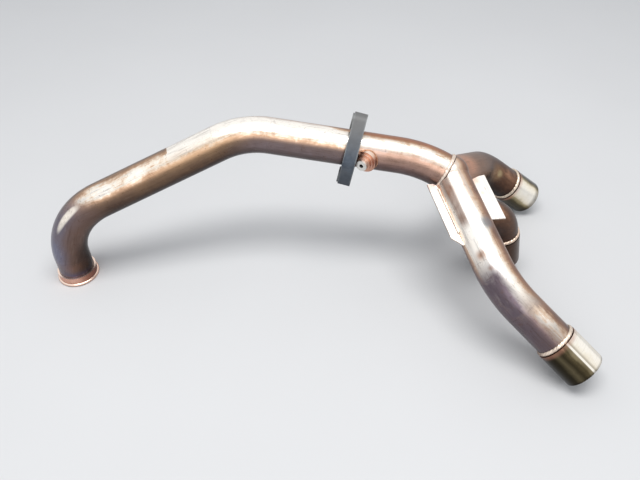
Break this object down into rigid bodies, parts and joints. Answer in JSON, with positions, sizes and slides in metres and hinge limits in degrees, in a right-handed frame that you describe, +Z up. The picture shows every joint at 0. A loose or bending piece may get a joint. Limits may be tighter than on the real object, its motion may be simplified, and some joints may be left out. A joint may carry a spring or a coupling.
{
  "type": "motorcycle exhaust header",
  "caption": "Bent steel exhaust header: an inlet pipe with a loose clamp flange and a gas sampling boss, and a welded junction of short legs with sleeves.",
  "frame": {"origin": "centre of the inlet collar's gasket face, on the floor the header lies on", "axes": "+Z up out of the collar along the head pipe's first straight, +X from the inlet to the outlets, +Y towards the far outlet"},
  "size_m": [0.6862, 0.3638, 0.2204],
  "materials": {
    "head_pipe": "polished, heat tinted",
    "head_collar": "polished",
    "clamp_flange": "cast, dull",
    "sampling_boss": "polished",
    "boss_nipple": "turned, satin",
    "junction_weld": "plain welded steel",
    "near_leg": "polished, light straw tint",
    "far_leg": "polished, heat tinted",
    "stub_pipe": "polished, heat tinted",
    "near_weld": "plain welded steel",
    "far_weld": "plain welded steel",
    "stub_weld": "plain welded steel",
    "near_sleeve": "polished",
    "far_sleeve": "polished",
    "stub_sleeve": "polished",
    "web_plate": "polished",
    "seam_strip": "polished"
  },
  "bodies": {
    "root": {"head_pipe": "head_pipe", "head_collar": "head_collar", "clamp_flange": "clamp_flange", "sampling_boss": "sampling_boss", "boss_nipple": "boss_nipple", "junction_weld": "junction_weld", "near_leg": "near_leg", "far_leg": "far_leg", "stub_pipe": "stub_pipe", "near_weld": "near_weld", "far_weld": "far_weld", "stub_weld": "stub_weld", "near_sleeve": "near_sleeve", "far_sleeve": "far_sleeve", "stub_sleeve": "stub_sleeve", "web_plate": "web_plate", "seam_strip": "seam_strip"}
  },
  "joints": []
}
